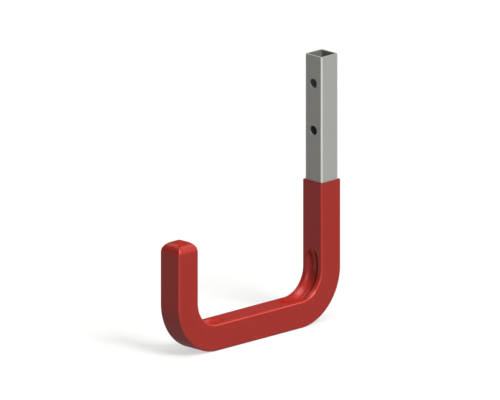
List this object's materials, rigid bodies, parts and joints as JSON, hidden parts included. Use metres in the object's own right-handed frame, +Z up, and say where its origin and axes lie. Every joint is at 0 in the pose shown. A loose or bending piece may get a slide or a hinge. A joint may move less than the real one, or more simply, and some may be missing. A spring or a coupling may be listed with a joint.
{
  "type": "garage utility hook",
  "caption": "Wall hook of bent square steel tube, dipped in red vinyl below its screw holes and closed by a domed tip, for hanging tools, hoses and cables in a garage.",
  "frame": {"origin": "centre of the screw-hole pattern, on the back face of the steel tube", "axes": "+Z up along the long leg, +Y into the wall, so that the hook opens towards -Y; symmetric about X = 0"},
  "size_m": [0.0222, 0.185, 0.2224],
  "materials": {
    "zinc_steel": "satin zinc plate",
    "red_vinyl": "satin dip coating",
    "plug_plastic": "moulded"
  },
  "bodies": {
    "root": {"square_tube": "zinc_steel", "vinyl_coating": "red_vinyl", "end_plug": "plug_plastic"}
  },
  "joints": []
}
